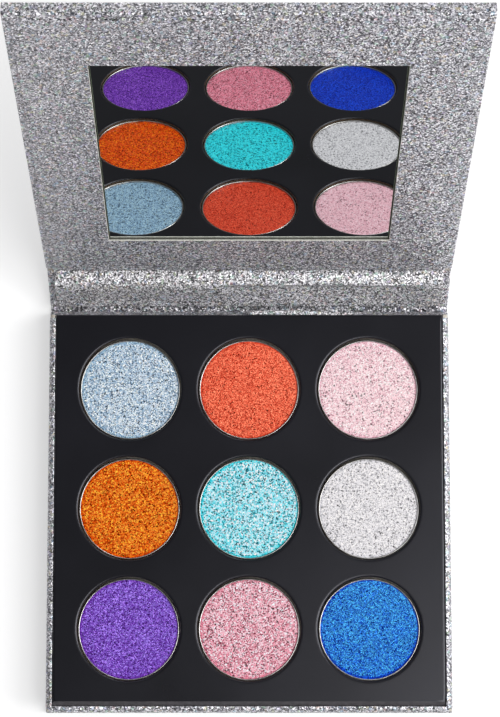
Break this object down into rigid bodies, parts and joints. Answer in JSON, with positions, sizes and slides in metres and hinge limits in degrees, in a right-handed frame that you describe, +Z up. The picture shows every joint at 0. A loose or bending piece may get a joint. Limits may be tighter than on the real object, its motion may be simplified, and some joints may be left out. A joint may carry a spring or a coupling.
{
  "type": "eyeshadow palette",
  "caption": "Book-style eyeshadow palette: a square board tray of round powder pans under a black card plate, with a paper-hinged spine and a mirrored lid.",
  "frame": {"origin": "centre of the flat underside of the base", "axes": "+X across the palette, +Y from its front edge towards the spine, +Z up from the table"},
  "size_m": [0.106, 0.1577, 0.1125],
  "materials": {
    "glitter_paper": "satin",
    "greyboard": "matte",
    "black_card": "matte",
    "pan_metal": "satin",
    "mirror_glass": "polished",
    "adhesive": "satin",
    "magnet_metal": "satin",
    "ice_blue_powder": "matte",
    "coral_powder": "matte",
    "pale_pink_powder": "matte",
    "copper_powder": "matte",
    "turquoise_powder": "matte",
    "silver_powder": "matte",
    "purple_powder": "matte",
    "rose_powder": "matte",
    "cobalt_powder": "matte"
  },
  "bodies": {
    "base": {"base_board": "greyboard", "base_wrap": "glitter_paper", "base_liner": "glitter_paper", "tray_adhesive": "adhesive", "tray_board": "greyboard", "tray_wrap": "glitter_paper", "filler_board": "greyboard", "pan_pads": "adhesive", "pan_plate": "black_card", "base_magnets": "magnet_metal", "lower_hinge_strip": "glitter_paper", "pans_front": "pan_metal", "pans_middle": "pan_metal", "pans_back": "pan_metal", "cake_back_left": "ice_blue_powder", "cake_back_centre": "coral_powder", "cake_back_right": "pale_pink_powder", "cake_middle_left": "copper_powder", "cake_middle_centre": "turquoise_powder", "cake_middle_right": "silver_powder", "cake_front_left": "purple_powder", "cake_front_centre": "rose_powder", "cake_front_right": "cobalt_powder"},
    "spine": {"spine_board": "greyboard", "spine_wrap": "glitter_paper", "spine_liner": "glitter_paper", "upper_hinge_strip": "glitter_paper"},
    "lid": {"lid_board": "greyboard", "window_board": "greyboard", "lid_magnets": "magnet_metal", "mirror_adhesive": "adhesive", "mirror": "mirror_glass", "lid_wrap": "glitter_paper", "lid_liner": "glitter_paper"}
  },
  "joints": [
    {"name": "spine_fold", "type": "hinge", "parent": "base", "child": "spine", "pos_m": [0, 0.05455, 0.0006], "axis": [1, 0, 0], "range_deg": [-50, 40], "deforming": ["lower_hinge_strip"]},
    {"name": "lid_fold", "type": "hinge", "parent": "spine", "child": "lid", "pos_m": [0, 0.064, 0.01186], "axis": [1, 0, 0], "range_deg": [-18, 72], "deforming": ["upper_hinge_strip"]}
  ]
}
